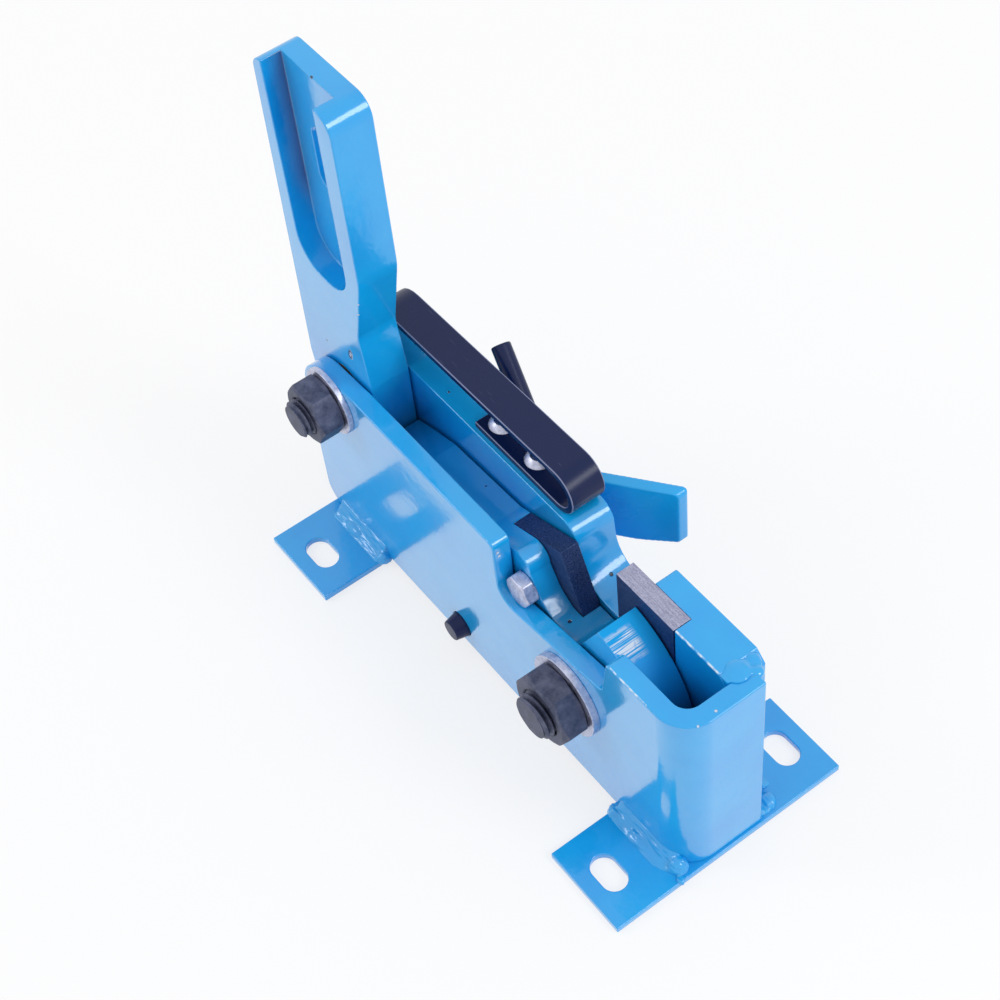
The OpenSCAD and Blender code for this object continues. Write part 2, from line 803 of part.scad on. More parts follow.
front_foot();
rear_foot();
near_side_plate();
far_side_plate();
foot_welds();
corner_weld();
shear_arm();
arm_bush();
moving_blade();
moving_blade_bolt();
fixed_blade();
fixed_blade_bolt();
fixed_blade_washer();
front_pivot_bolt();
front_pivot_nut();
front_pivot_washer();
lever();
lever_bush();
rear_pivot_bolt();
rear_pivot_nut();
rear_pivot_washer();
carry_strap();
strap_screws();
stop_pin();
bar_stop();
bar_stop_handle();
bar_stop_bolt();
bar_stop_washer();
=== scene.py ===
import json
import math

import bpy
from mathutils import Matrix, Vector, noise

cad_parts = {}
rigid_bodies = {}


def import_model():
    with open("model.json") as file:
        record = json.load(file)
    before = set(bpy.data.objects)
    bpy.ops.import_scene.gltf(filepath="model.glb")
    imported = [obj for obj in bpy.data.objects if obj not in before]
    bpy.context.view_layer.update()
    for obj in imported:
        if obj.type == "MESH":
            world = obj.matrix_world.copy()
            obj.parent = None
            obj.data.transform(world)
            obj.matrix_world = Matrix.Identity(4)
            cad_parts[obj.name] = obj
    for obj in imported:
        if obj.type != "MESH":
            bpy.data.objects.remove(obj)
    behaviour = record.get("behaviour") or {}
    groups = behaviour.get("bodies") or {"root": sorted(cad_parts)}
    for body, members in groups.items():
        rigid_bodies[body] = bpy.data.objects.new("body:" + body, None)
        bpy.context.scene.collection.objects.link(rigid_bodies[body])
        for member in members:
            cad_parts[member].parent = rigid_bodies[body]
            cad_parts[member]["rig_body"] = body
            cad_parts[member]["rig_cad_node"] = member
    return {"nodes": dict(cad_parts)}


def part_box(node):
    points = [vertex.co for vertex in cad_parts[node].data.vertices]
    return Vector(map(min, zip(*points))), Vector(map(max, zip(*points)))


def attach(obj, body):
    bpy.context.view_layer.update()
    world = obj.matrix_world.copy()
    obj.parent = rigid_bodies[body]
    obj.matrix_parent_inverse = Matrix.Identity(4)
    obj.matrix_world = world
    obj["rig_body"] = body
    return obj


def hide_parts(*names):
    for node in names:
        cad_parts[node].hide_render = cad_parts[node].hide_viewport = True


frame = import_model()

bl_info = {
    "name": "Manual rebar cutter dressing",
    "version": (1, 0, 0),
    "blender": (4, 5, 0),
    "location": "View3D > Sidebar > Cutter",
    "description": "Paints, softens and welds the packed rebar cutter and sets its studio",
    "category": "Object",
}

MM = 0.001
NODES = frame["nodes"]

# The space between the side plates, where the colour carries a painted shade that deepens downwards: its middle
# and half width across, its half length, and the heights where that painted shade starts and ends
GAP_Y, GAP_HALF_Y, GAP_HALF_X = -5.5 * MM, 11.95 * MM, 134.6 * MM
GAP_TOP, GAP_DARK = 106 * MM, 62 * MM
# The lever's handle pocket: its middle, its wall from near the rim to near the floor, and its foot
POCKET_X, POCKET_RIM, POCKET_FLOOR, POCKET_FOOT = -126.75 * MM, -16.3 * MM, -5.6 * MM, 175 * MM
# Where the painted shade on that wall starts and where it is full, across the lever and up it
POCKET_SHADE_Y, POCKET_SHADE_Z = (-15.5 * MM, -6 * MM), (197 * MM, 228 * MM)
# Where the turned rim of the jaw arm carries its worn drag lines, painted pale as a highlight: axis, where they
# start and where they are full, in millimetres
RIM_WEAR_AND_HIGHLIGHT = (("X", 77, 80), ("X", 93, 88.5), ("Y", -1.5, -5))
# The turned rim lies at least this far from the hub's axis
RIM_RADIUS = 49 * MM
# The flat top of a chamfered hexagon as a share of its flats, and its cut corners as a share of their full reach
HEX_CROWN, HEX_CORNER = 0.95, 0.988
# A pivot bolt's thread: its depth in pitches, its steps to a turn, and the depth of the tip's chamfer
THREAD_DEPTH, THREAD_STEPS, THREAD_TIP = 0.61, 40, 1.6 * MM
# How fine a skin is that joins overlapping metal
VOXEL = 0.55 * MM
# The height that the welds keep off the bench
WELD_FLOOR = 1 * MM
# The edges of small pieces: the angle past which they are rounded, in degrees, and the steps of the rounding
FINE_EDGE = (20, 2)
# The photograph's eye: its place, where it looks, its right and the shift of its lens
EYE = (0.504569, -0.317221, 0.886818)
EYE_AHEAD = (-0.52932, 0.31666, -0.78712)
EYE_RIGHT = (0.59579, 0.79923, -0.07912)
EYE_SHIFT = (0.00366, 0.0006)
# The side of the floor, and the point that the lamps look at, in metres
FLOOR_SIDE = 8
LAMP_TARGET = (0.0, 0.0, 0.10)
# Each softbox: its direction from that point, its distance and its side, in metres
KEY_BOX = ((0.716, 0.336, 0.612), 2.2, 0.75)
EDGE_BOX = ((-0.53, -0.62, 0.58), 2.4, 0.7)


def linear(hexa):
    """Linear colour of an sRGB hex value, with full alpha."""
    parts = [int(hexa[i:i + 2], 16) / 255 for i in (1, 3, 5)]
    return [c / 12.92 if c <= 0.04045 else ((c + 0.055) / 1.055) ** 2.4 for c in parts] + [1.0]


def srgb(hexa):
    """Linear three-part colour for a colour property's default."""
    return linear(hexa)[:3]


class PaintSettings(bpy.types.PropertyGroup):
    """Colours and grain of the painted pieces"""
    enamel: bpy.props.FloatVectorProperty(
        name="Enamel", description="Azure enamel of the plates, arm and lever",
        subtype="COLOR", default=srgb("#12A6EB"), min=0, max=1)
    enamel_deep: bpy.props.FloatVectorProperty(
        name="Thick enamel", description="Enamel where it has run together",
        subtype="COLOR", default=srgb("#0497E4"), min=0, max=1)
    lacquer: bpy.props.FloatVectorProperty(
        name="Lacquer", description="Black lacquer of the strap and the handle rod",
        subtype="COLOR", default=srgb("#0A1C48"), min=0, max=1)
    peel: bpy.props.FloatProperty(
        name="Orange peel", description="Width of the orange peel in the enamel",
        subtype="DISTANCE", default=2.4 * MM, min=0.5 * MM, max=8 * MM)


class EdgeSettings(bpy.types.PropertyGroup):
    """How far the edges are rounded"""
    plate: bpy.props.FloatProperty(
        name="Plate edges", description="Rounding of the painted plates",
        subtype="DISTANCE", default=0.9 * MM, min=0.1 * MM, max=2 * MM)
    forging: bpy.props.FloatProperty(
        name="Forged edges", description="Rounding of the lever, the jaw arm and the far plate",
        subtype="DISTANCE", default=0.6 * MM, min=0.1 * MM, max=1 * MM)
    bar: bpy.props.FloatProperty(
        name="Flat bar edges", description="Rounding of the carrying strap",
        subtype="DISTANCE", default=0.6 * MM, min=0.1 * MM, max=1.5 * MM)
    fastener: bpy.props.FloatProperty(
        name="Fastener edges", description="Rounding of bolts, nuts and washers",
        subtype="DISTANCE", default=0.3 * MM, min=0.05 * MM, max=0.8 * MM)
    blade: bpy.props.FloatProperty(
        name="Blade edges", description="Rounding of the ground blades",
        subtype="DISTANCE", default=0.25 * MM, min=0.05 * MM, max=1 * MM)


class WeldSettings(bpy.types.PropertyGroup):
    """Size of the weld beads"""
    leg: bpy.props.FloatProperty(
        name="Bead leg", description="How far a bead spreads over the foot and up the plate",
        subtype="DISTANCE", default=7.8 * MM, min=4 * MM, max=11 * MM)
    wrinkle: bpy.props.FloatProperty(
        name="Wrinkles", description="Depth of the lengthwise wrinkles in a bead",
        subtype="DISTANCE", default=0.8 * MM, min=0, max=3 * MM)


class StageSettings(bpy.types.PropertyGroup):
    """Floor, lamps and camera"""
    floor: bpy.props.FloatVectorProperty(
        name="Floor", description="Pale studio floor",
        subtype="COLOR", default=srgb("#F7F8FA"), min=0, max=1)
    sky: bpy.props.FloatProperty(
        name="Sky", description="Level of the soft light from all round",
        default=0.80, min=0, max=2)
    key: bpy.props.FloatProperty(
        name="Key lamp", description="Power of the large softbox",
        subtype="POWER", default=12.0, min=0, max=200)
    fill: bpy.props.FloatProperty(
        name="Edge lamp", description="Power of the small softbox behind, which draws the plates' top edges",
        subtype="POWER", default=7.0, min=0, max=200)
    lens: bpy.props.FloatProperty(
        name="Lens", description="Focal length of the camera in millimetres",
        default=75.802, min=20, max=200)


class CutterSettings(bpy.types.PropertyGroup):
    """All settings of the dressed cutter"""
    paint: bpy.props.PointerProperty(type=PaintSettings, name="Paint")
    edge: bpy.props.PointerProperty(type=EdgeSettings, name="Edges")
    weld: bpy.props.PointerProperty(type=WeldSettings, name="Welds")
    stage: bpy.props.PointerProperty(type=StageSettings, name="Stage")


def settings():
    return bpy.context.scene.cutter_settings


def clear_selection():
    if bpy.context.mode != "OBJECT":
        bpy.ops.object.mode_set(mode="OBJECT")
    bpy.ops.object.select_all(action="DESELECT")


def pick(piece):
    """Makes one object the selected and active one."""
    clear_selection()
    piece.select_set(True)
    bpy.context.view_layer.objects.active = piece


def newest(name):
    """What an operator has just made, under its name."""
    made = bpy.context.view_layer.objects.active
    made.name = made.data.name = name
    return made


def edit(piece, choose=None):
    """Opens a piece in edit mode with all of it, or the vertices that choose accepts, selected."""
    pick(piece)
    bpy.ops.object.mode_set(mode="EDIT")
    bpy.ops.mesh.select_mode(type="VERT")
    bpy.ops.mesh.select_all(action="SELECT" if choose is None else "DESELECT")
    if choose is not None:
        bpy.ops.object.mode_set(mode="OBJECT")
        for vertex in piece.data.vertices:
            vertex.select = choose(vertex.co)
        bpy.ops.object.mode_set(mode="EDIT")


def edit_faces(piece, choose):
    """Opens a piece in edit mode with the faces that choose accepts selected."""
    pick(piece)
    bpy.context.tool_settings.mesh_select_mode = (False, False, True)
    for part in (*piece.data.vertices, *piece.data.edges):
        part.select = False
    for face in piece.data.polygons:
        face.select = choose(face)
    bpy.ops.object.mode_set(mode="EDIT")


def leave_edit():
    bpy.ops.object.mode_set(mode="OBJECT")


def apply_modifiers(piece):
    """Works a piece's modifiers into its mesh, in their order, and leaves it selected."""
    pick(piece)
    for modifier in list(piece.modifiers):
        bpy.ops.object.modifier_apply(modifier=modifier.name)


def settle(piece):
    """Puts a piece's place, turn and size into its mesh."""
    pick(piece)
    bpy.ops.object.transform_apply(location=True, rotation=True, scale=True)


def taken(node_name, piece_name):
    """A merged copy of a CAD node, ready to be shaped."""
    source = NODES[node_name]
    pick(source)
    bpy.ops.object.duplicate()
    piece = newest(piece_name)
    piece.parent = None
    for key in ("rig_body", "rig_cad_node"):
        del piece[key]
    edit(piece)
    bpy.ops.mesh.customdata_custom_splitnormals_clear()
    bpy.ops.mesh.remove_doubles(threshold=0.002 * MM)
    leave_edit()
    return piece


def soften(piece, width, sharp=34, steps=3):
    """Rounds every edge sharper than an angle, and keeps the flat faces flat."""
    pick(piece)
    bpy.ops.object.shade_smooth()
    bevel = piece.modifiers.new("Rounded edge", "BEVEL")
    bevel.width, bevel.segments = width, steps
    bevel.limit_method, bevel.angle_limit = "ANGLE", math.radians(sharp)
    bevel.use_clamp_overlap, bevel.loop_slide = False, False
    flat = piece.modifiers.new("Flat faces", "WEIGHTED_NORMAL")
    flat.keep_sharp = True
    apply_modifiers(piece)
    return piece


def finish_piece(piece, body, material, stands_for):
    """Paints a piece and hangs it on its body, in the place of a CAD node."""
    piece.data.materials.clear()
    piece.data.materials.append(material)
    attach(piece, body)
    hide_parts(stands_for)
    return piece


def node(tree, kind, values=None, links=None, **settings_of):
    """Adds a shader node with its settings and values, fed by sockets or by other nodes' first outputs."""
    made = tree.nodes.new(kind)
    for key, value in settings_of.items():
        setattr(made, key, value)
    for key, value in (values or {}).items():
        made.inputs[key].default_value = value
    for key, source in (links or {}).items():
        tree.links.new(source.outputs[0] if isinstance(source, bpy.types.Node) else source, made.inputs[key])
    return made


def new_material(name):
    """An empty node material and the object's own coordinates in it; the tree is None where it exists already."""
    material = bpy.data.materials.get(name)
    if material is not None:
        return material, None, None
    material = bpy.data.materials.new(name)
    material.use_nodes = True
    tree = material.node_tree
    tree.nodes.clear()
    return material, tree, node(tree, "ShaderNodeTexCoord").outputs["Object"]


def marks(tree, place, places):
    """1 inside small round marks at the given places, each (x, y, z, radius) in millimetres, and 0 elsewhere."""
    total = None
    for x, y, z, radius in places:
        away = node(tree, "ShaderNodeVectorMath", {1: (x * MM, y * MM, z * MM)}, {0: place}, operation="DISTANCE")
        spot = node(tree, "ShaderNodeMapRange", {"From Min": radius * 1.15 * MM, "From Max": radius * 0.75 * MM},
                    {"Value": away.outputs["Value"]})
        total = spot if total is None else node(
            tree, "ShaderNodeMath", links={0: total, 1: spot}, operation="MAXIMUM")
    return total


def painted_edge_highlight(tree, place, parts, start, end, y, z, radius):
    """A painted highlight: 1 along a straight edge that runs with X, in a line broken every 4 mm or so; all is in
    millimetres.
    """
    across = node(tree, "ShaderNodeVectorMath", {1: (0, 1, 1)}, {0: place}, operation="MULTIPLY")
    away = node(tree, "ShaderNodeVectorMath", {1: (0, y * MM, z * MM)}, {0: across}, operation="DISTANCE")
    line = node(tree, "ShaderNodeMapRange", {"From Min": radius * 1.15 * MM, "From Max": radius * 0.6 * MM},
                {"Value": away.outputs["Value"]})
    along = node(tree, "ShaderNodeMath", {1: (start + end) / 2 * MM, 2: (end - start) / 2 * MM},
                 {0: parts.outputs["X"]}, operation="COMPARE")
    breaks = node(tree, "ShaderNodeTexNoise", {"Scale": 260.0, "Detail": 2.0}, {"Vector": place})
    breaks = node(tree, "ShaderNodeMapRange", {"From Min": 0.40, "From Max": 0.56}, {"Value": breaks})
    for share in (along, breaks):
        line = node(tree, "ShaderNodeMath", links={0: line, 1: share}, operation="MULTIPLY")
    return line


def gap_shade(tree, parts):
    """Painted shade: nearly 1 deep between the side plates, and 0 at their tops and outside."""
    shade = node(tree, "ShaderNodeMapRange", {"From Min": GAP_TOP, "From Max": GAP_DARK, "To Max": 0.95},
                 {"Value": parts.outputs["Z"]})
    for axis, middle_at, half in (("Y", GAP_Y, GAP_HALF_Y), ("X", 0.0, GAP_HALF_X)):
        inside = node(tree, "ShaderNodeMath", {1: middle_at, 2: half}, {0: parts.outputs[axis]},
                      operation="COMPARE")
        shade = node(tree, "ShaderNodeMath", links={0: shade, 1: inside}, operation="MULTIPLY")
    return shade


def pocket_shade(tree, parts):
    """Painted shade on the lever's pocket wall: it grows towards the floor of the pocket, and fades out down to its
    foot.
    """
    inward = node(tree, "ShaderNodeMapRange", {"From Min": POCKET_SHADE_Y[0], "From Max": POCKET_SHADE_Y[1],
                                               "To Min": 0.1, "To Max": 0.85}, {"Value": parts.outputs["Y"]})
    upward = node(tree, "ShaderNodeMapRange", {"From Min": POCKET_SHADE_Z[0], "From Max": POCKET_SHADE_Z[1]},
                  {"Value": parts.outputs["Z"]})
    return node(tree, "ShaderNodeMath", links={0: inward, 1: upward}, operation="MULTIPLY")


def drag_lines_and_highlight(tree, place, parts):
    """1 on the drag lines of the turned rim, about 1 mm apart, where the paint has rubbed off the ridges; their
    pale colour is also a painted highlight.
    """
    drawn = node(tree, "ShaderNodeMapping", {"Scale": (1300.0, 26.0, 260.0)}, {"Vector": place})
    lines = node(tree, "ShaderNodeTexNoise", {"Scale": 1.0, "Detail": 1.5, "Roughness": 0.6}, {"Vector": drawn})
    border = node(tree, "ShaderNodeTexNoise", {"Scale": 240.0, "Detail": 2.0}, {"Vector": place})
    wear_and_highlight = node(tree, "ShaderNodeMapRange", {"From Min": 0.455, "From Max": 0.53}, {"Value": lines})
    sides = [(parts.outputs[axis], start * MM, full * MM) for axis, start, full in RIM_WEAR_AND_HIGHLIGHT]
    for source, low, high in (*sides, (border, 0.29, 0.40)):
        share = node(tree, "ShaderNodeMapRange", {"From Min": low, "From Max": high}, {"Value": source})
        wear_and_highlight = node(tree, "ShaderNodeMath", links={0: wear_and_highlight, 1: share}, operation="MULTIPLY")
    return wear_and_highlight


# Sprayed enamel on blasted steel: a deep gloss coat with a fine orange peel, which mirrors
# the pale floor softly, and sags about 11 mm wide. It is a little thicker and darker in
# It is a little thicker and darker in clouds of about 45 mm, where it has run together.
# Between the plates, and at the wall of the lever's pocket, the colour carries a painted shade
# that sinks to a dark navy; the jaw arm carries this painted shade along when it swings.
# Pits are filled with dirt, at chips the paint has come off the bright steel, and some
# edges carry a painted highlight in a broken line.
def enamel(name="azure_enamel", rough=0.16, peel_depth=0.05, coat=1.0, wavy=0.0, pits=(), chips=(), edges=(),
           rim=False, pocket=False):
    material, tree, place = new_material(name)
    if tree is None:
        return material
    paint = settings().paint
    parts = node(tree, "ShaderNodeSeparateXYZ", links={0: place})
    cloud = node(tree, "ShaderNodeTexNoise", {"Scale": 22.0, "Detail": 3.0, "Roughness": 0.6}, {"Vector": place})
    thick = node(tree, "ShaderNodeMapRange", {"From Min": 0.42, "From Max": 0.75, "To Max": 0.7}, {"Value": cloud})
    colour = node(tree, "ShaderNodeMix", {6: (*paint.enamel, 1), 7: (*paint.enamel_deep, 1)}, {0: thick},
                  data_type="RGBA").outputs[2]
    peel = node(tree, "ShaderNodeTexNoise", {"Scale": 1 / paint.peel, "Detail": 2.0, "Roughness": 0.45},
                {"Vector": place})
    sag = node(tree, "ShaderNodeTexNoise", {"Scale": 90.0, "Detail": 2.0}, {"Vector": place})
    bump = node(tree, "ShaderNodeBump", {"Strength": peel_depth, "Distance": 1 * MM}, {"Height": peel})
    # Over the enamel: tones as (where, colour), and reliefs as (height, strength, depth in millimetres, sunk)
    # Painted shade between the plates, in dark navy
    tones = [(gap_shade(tree, parts), "#031038")]
    reliefs = [(sag, 0.12 + wavy, 1.0, False)]
    if pocket:
        # Painted shade on the pocket wall, in deep blue
        tones.append((pocket_shade(tree, parts), "#00307A"))
    if rim:
        # The rim's worn drag lines, painted pale as a highlight
        wear_and_highlight = drag_lines_and_highlight(tree, place, parts)
        tones.append((wear_and_highlight, "#DCE8F6"))
        reliefs.append((wear_and_highlight, 0.3, 0.4, False))
    for places, tone in ((pits, "#0A1230"), (chips, "#C9D6E8")):
        if places:
            spots = marks(tree, place, places)
            tones.append((spots, tone))
            reliefs.append((spots, 0.6, 0.6, True))
    # Painted highlights in a pale broken line along some top edges
    tones += [(painted_edge_highlight(tree, place, parts, *line), "#D2E6F6") for line in edges]
    for share, tone in tones:
        colour = node(tree, "ShaderNodeMix", {7: linear(tone)}, {0: share, 6: colour}, data_type="RGBA").outputs[2]
    for height, strength, depth, sunk in reliefs:
        bump = node(tree, "ShaderNodeBump", {"Strength": strength, "Distance": depth * MM},
                    {"Height": height, "Normal": bump}, invert=sunk)
    gloss = node(tree, "ShaderNodeMapRange", {"From Min": 0.3, "From Max": 0.7, "To Min": rough,
                                              "To Max": rough + 0.08}, {"Value": cloud})
    shader = node(
        tree, "ShaderNodeBsdfPrincipled",
        {"IOR": 1.45, "Specular IOR Level": 0.2 if rim else 0.5, "Coat Weight": coat, "Coat Roughness": 0.09,
         "Coat IOR": 1.46},
        {"Base Color": colour, "Roughness": gloss, "Normal": bump, "Coat Normal": bump})
    node(tree, "ShaderNodeOutputMaterial", links={"Surface": shader})
    return material


# Black stoving lacquer over drawn flat bar: satin, nearly black with a blue cast, with
# hairline scratches about 1 mm apart that run mostly along the bar, and a fine grain drawn
# as coarse as 0.7 mm, so that it shows. A tone other than the lacquer's own is for the
# rounded corners, a paler painted highlight.
def strap_lacquer(name="black_lacquer", tone=None):
    material, tree, place = new_material(name)
    if tree is None:
        return material
    lacquer = linear(tone) if tone else (*settings().paint.lacquer, 1)
    grain = node(tree, "ShaderNodeTexNoise", {"Scale": 1500.0, "Detail": 2.0}, {"Vector": place})
    cloud = node(tree, "ShaderNodeTexNoise", {"Scale": 60.0, "Detail": 3.0}, {"Vector": place})
    drawn = node(tree, "ShaderNodeMapping", {"Rotation": (0, 0.4, 0.25), "Scale": (60.0, 1400.0, 900.0)},
                 {"Vector": place})
    hair = node(tree, "ShaderNodeTexNoise", {"Scale": 1.0, "Detail": 1.0}, {"Vector": drawn})
    lines = node(tree, "ShaderNodeMapRange", {"From Min": 0.70, "From Max": 0.78}, {"Value": hair})
    areas = node(tree, "ShaderNodeMapRange", {"From Min": 0.52, "From Max": 0.66}, {"Value": cloud})
    scratch = node(tree, "ShaderNodeMath", links={0: lines, 1: areas}, operation="MULTIPLY")
    colour = node(tree, "ShaderNodeMix", {6: lacquer, 7: linear("#565B74")}, {0: scratch},
                  data_type="RGBA").outputs[2]
    bump = node(tree, "ShaderNodeBump", {"Strength": 0.12, "Distance": 0.3 * MM}, {"Height": grain})
    bump = node(tree, "ShaderNodeBump", {"Strength": 0.15, "Distance": 1 * MM}, {"Height": cloud, "Normal": bump})
    gloss = node(tree, "ShaderNodeMapRange", {"From Min": 0.3, "From Max": 0.7, "To Min": 0.25, "To Max": 0.34},
                 {"Value": cloud})
    shader = node(tree, "ShaderNodeBsdfPrincipled", {"IOR": 1.5, "Specular IOR Level": 0.28},
                  {"Base Color": colour, "Roughness": gloss, "Normal": bump})
    node(tree, "ShaderNodeOutputMaterial", links={"Surface": shader})
    return material


def mottled_metal(name, metallic, mottle, tones, pale_from, rough, relief, grit=None):
    """A metal whose tone and gloss follow one noise, mottle, and its relief too unless there is a finer grit."""
    material, tree, place = new_material(name)
    if tree is None:
        return material
    scale, detail, roughness = mottle
    blot = node(tree, "ShaderNodeTexNoise", {"Scale": scale, "Detail": detail, "Roughness": roughness},
                {"Vector": place})
    fine = node(tree, "ShaderNodeTexNoise", {"Scale": grit, "Detail": 2.0}, {"Vector": place}) if grit else blot
    pale = node(tree, "ShaderNodeMapRange", {"From Min": 0.35, "From Max": pale_from}, {"Value": blot})
    colour = node(tree, "ShaderNodeMix", {6: linear(tones[0]), 7: linear(tones[1])}, {0: pale},
                  data_type="RGBA").outputs[2]
    bump = node(tree, "ShaderNodeBump", {"Strength": relief, "Distance": 0.3 * MM}, {"Height": fine})
    gloss = node(tree, "ShaderNodeMapRange", {"From Min": 0.3, "From Max": 0.7, "To Min": rough[0],
                                              "To Max": rough[1]}, {"Value": blot})
    shader = node(tree, "ShaderNodeBsdfPrincipled", {"Metallic": metallic},
                  {"Base Color": colour, "Roughness": gloss, "Normal": bump})
    node(tree, "ShaderNodeOutputMaterial", links={"Surface": shader})
    return material


# Blackened (oil-quenched) steel of the nuts and pivot bolts: grey-blue scale over metal,
# in matt blots of about 6 mm, with a grit drawn as coarse as 0.8 mm, so that it shows.
def quenched_steel():
    return mottled_metal("blackened_steel", 0.75, (160.0, 4.0, 0.65), ("#3A4058", "#6A6E84"), 0.7, (0.42, 0.60),
                         0.25, 1300.0)


# Bright zinc plate: pale lilac-grey metal, mottled every 2 to 3 mm and half matt.
def zinc_plate():
    return mottled_metal("bright_zinc", 0.85, (380.0, 4.0, 0.7), ("#A9ADC6", "#DADDF0"), 0.65, (0.32, 0.46), 0.15)


# The same plate worn smooth on the strap screws' crowns, with a dark painted reflection of the strap over them.
def zinc_painted_reflection():
    return mottled_metal("crown_painted_reflection", 0.85, (380.0, 4.0, 0.7), ("#232C48", "#3C4866"), 0.65, (0.14, 0.28), 0.15)


# Sintered bronze of the plain bushes: warm, half matt and open-grained, with grains drawn
# as coarse as 1 mm, so that they show.
def bush_bronze():
    return mottled_metal("sintered_bronze", 1.0, (900.0, 3.0, 0.5), ("#8A6A3A", "#C29A58"), 0.65, (0.35, 0.5), 0.2)


# Surface-ground tool steel: lilac-grey with a grind along the blade, drawn as coarse as
# 0.5 mm, so that it shows, and stains of about 18 mm, dark and oily where the wheel hasn't
# touched it.
def blade_steel(name, dark_tone, pale_tone, rough):
    material, tree, place = new_material(name)
    if tree is None:
        return material
    grit = node(tree, "ShaderNodeTexNoise", {"Scale": 1600.0, "Detail": 2.0}, {"Vector": place})
    stain = node(tree, "ShaderNodeTexNoise", {"Scale": 55.0, "Detail": 3.0}, {"Vector": place})
    drawn = node(tree, "ShaderNodeMapping", {"Scale": (120.0, 2200.0, 2200.0)}, {"Vector": place})
    grind = node(tree, "ShaderNodeTexNoise", {"Scale": 1.0, "Detail": 2.0}, {"Vector": drawn})
    mixed = node(tree, "ShaderNodeMix", {0: 0.5}, {2: grit, 3: grind})
    pale = node(tree, "ShaderNodeMapRange", {"From Min": 0.38, "From Max": 0.62}, {"Value": mixed})
    colour = node(tree, "ShaderNodeMix", {6: linear(dark_tone), 7: linear(pale_tone)}, {0: pale},
                  data_type="RGBA").outputs[2]
    oily = node(tree, "ShaderNodeMapRange", {"From Min": 0.60, "From Max": 0.68, "To Max": 0.5}, {"Value": stain})
    colour = node(tree, "ShaderNodeMix", {7: linear(dark_tone)}, {0: oily, 6: colour}, data_type="RGBA").outputs[2]
    bump = node(tree, "ShaderNodeBump", {"Strength": 0.18, "Distance": 0.3 * MM}, {"Height": mixed})
    gloss = node(tree, "ShaderNodeMapRange", {"From Min": 0.3, "From Max": 0.7, "To Min": rough,
                                              "To Max": rough + 0.12}, {"Value": stain})
    shader = node(tree, "ShaderNodeBsdfPrincipled", {"Metallic": 0.8},
                  {"Base Color": colour, "Roughness": gloss, "Normal": bump})
    node(tree, "ShaderNodeOutputMaterial", links={"Surface": shader})
    return material


def painted(node_name, body, width, **finish):
    """A softened, enamelled stand-in for a CAD plate."""
    piece = soften(taken(node_name, node_name + "_painted"), width)
    material = enamel("enamel_" + node_name, **finish) if finish else enamel()
    return finish_piece(piece, body, material, node_name)


def fastener(node_name, body, slot, material):
    """A CAD washer or pin with its edges broken."""
    piece = soften(taken(node_name, node_name + "_softened"), settings().edge.fastener, *FINE_EDGE)
    finish_piece(piece, body, material, node_name)


def stretch_shank(piece, inner, shank, length):
    """Draws a bolt's shank down from the middle of its head's seat, the one face below with many corners."""
    edit_faces(piece, lambda face: face.normal.z < -0.9 and len(face.vertices) > 12)
    bpy.ops.mesh.inset(thickness=inner - shank, use_even_offset=False)
    bpy.ops.mesh.extrude_region_move(TRANSFORM_OT_translate={"value": (0, 0, -length)})
    leave_edit()


def hexagon(name, flats, height, bore=0.0, shank=0.0, length=0.0):
    """A nut or bolt head on z = 0, with its six corners forward and back and cut away at 30 degrees."""
    crown = HEX_CROWN * flats / 2
    clear_selection()
    bpy.ops.mesh.primitive_cylinder_add(vertices=72, radius=flats / 2, depth=height, location=(0, 0, height / 2))
    piece = newest(name)
    settle(piece)
    edit_faces(piece, lambda face: abs(face.normal.z) > 0.9)
    bpy.ops.mesh.inset(thickness=flats / 2 - crown)
    if bore:
        # Countersunk mouths, joined through the nut
        bpy.ops.mesh.inset(thickness=crown - 1.08 * bore)
        bpy.ops.mesh.inset(thickness=0.08 * bore, depth=-0.06 * bore)
        bpy.ops.mesh.bridge_edge_loops()
    leave_edit()
    if shank:
        stretch_shank(piece, crown, shank, length)
    furthest = HEX_CORNER * flats / 2 / math.cos(math.radians(30))
    for vertex in piece.data.vertices:
        out = math.hypot(vertex.co.x, vertex.co.y)
        if out > (crown + flats / 2) / 2:
            turn = math.atan2(vertex.co.y, vertex.co.x) % math.radians(60) - math.radians(30)
            reach = min(flats / 2 / math.cos(turn), furthest)
            fall = (reach - crown) * math.tan(math.radians(30))
            vertex.co = (vertex.co.x * reach / out, vertex.co.y * reach / out,
                         height - fall if vertex.co.z > height / 2 else fall)
    return rounded_metal(piece)


def dome(name, radius, height, shank, length):
    """A cup-head bolt: part of a ball on z = 0, over its shank."""
    ball = (radius ** 2 + height ** 2) / (2 * height)
    clear_selection()
    bpy.ops.mesh.primitive_uv_sphere_add(segments=64, ring_count=64, radius=ball, location=(0, 0, height - ball))
    piece = newest(name)
    settle(piece)
    edit(piece)
    bpy.ops.mesh.bisect(plane_co=(0, 0, 0), plane_no=(0, 0, 1), use_fill=True, clear_inner=True)
    leave_edit()
    stretch_shank(piece, radius, shank, length)
    return rounded_metal(piece)


def rounded_metal(piece):
    """Breaks the edges of a turned or forged fastener."""
    pick(piece)
    bpy.ops.object.shade_smooth()
    bevel = piece.modifiers.new("Broken edge", "BEVEL")
    bevel.width, bevel.segments = settings().edge.fastener, 2
    bevel.limit_method, bevel.angle_limit = "ANGLE", math.radians(24)
    flat = piece.modifiers.new("Flat faces", "WEIGHTED_NORMAL")
    flat.keep_sharp = True
    apply_modifiers(piece)
    return piece


def seat_along_y(piece, x, y, z, far=True):
    """Stands a piece made on z = 0 on a plate's face, pointing to the far or the near side."""
    piece.rotation_euler = (math.radians(-90 if far else 90), 0, 0)
    piece.location = (x, y, z)
    settle(piece)


